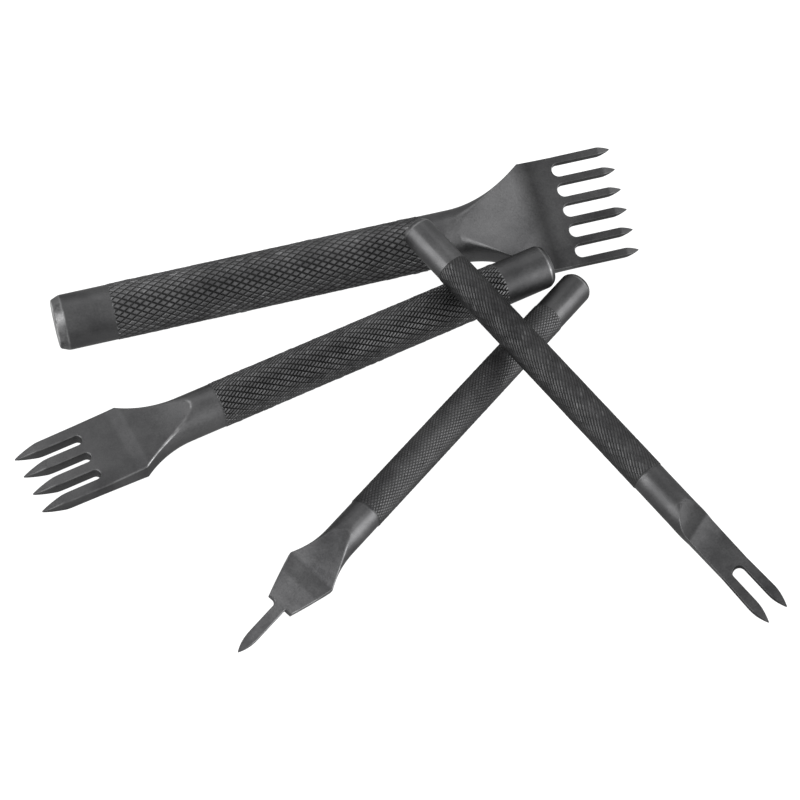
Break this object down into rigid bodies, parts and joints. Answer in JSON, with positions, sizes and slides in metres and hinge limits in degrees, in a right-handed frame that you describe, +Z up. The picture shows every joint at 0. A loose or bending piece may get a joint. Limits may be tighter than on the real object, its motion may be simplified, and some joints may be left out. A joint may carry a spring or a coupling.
{
  "type": "pricking iron set",
  "caption": "Set of round-handled leather pricking irons with knurled grips and flat blades ending in pointed tines, lying crossed over each other.",
  "frame": {"origin": "middle of the bounding box, on the surface the irons lie on", "axes": "+X along the longest extent of the crossed irons, +Z up away from the surface they lie on"},
  "size_m": [0.1624, 0.1332, 0.0226],
  "materials": {
    "six_tine_iron_steel": "satin black oxide, worn lighter along the edges",
    "four_tine_iron_steel": "satin black oxide, worn lighter along the edges",
    "two_tine_iron_steel": "satin black oxide, worn lighter along the edges",
    "one_tine_iron_steel": "satin black oxide, worn lighter along the edges"
  },
  "bodies": {
    "six_tine_iron": {"six_tine_iron": "six_tine_iron_steel"},
    "four_tine_iron": {"four_tine_iron": "four_tine_iron_steel"},
    "two_tine_iron": {"two_tine_iron": "two_tine_iron_steel"},
    "one_tine_iron": {"one_tine_iron": "one_tine_iron_steel"}
  },
  "joints": [
    {"name": "four_tine_lift", "type": "slide", "parent": "six_tine_iron", "child": "four_tine_iron", "axis": [0, 0, 1], "range_m": [0, 0.03]},
    {"name": "two_tine_lift", "type": "slide", "parent": "four_tine_iron", "child": "two_tine_iron", "axis": [0, 0, 1], "range_m": [0, 0.03]},
    {"name": "one_tine_draw", "type": "slide", "parent": "six_tine_iron", "child": "one_tine_iron", "axis": [-0.5997, -0.8002, 0], "range_m": [0, 0.045]}
  ]
}
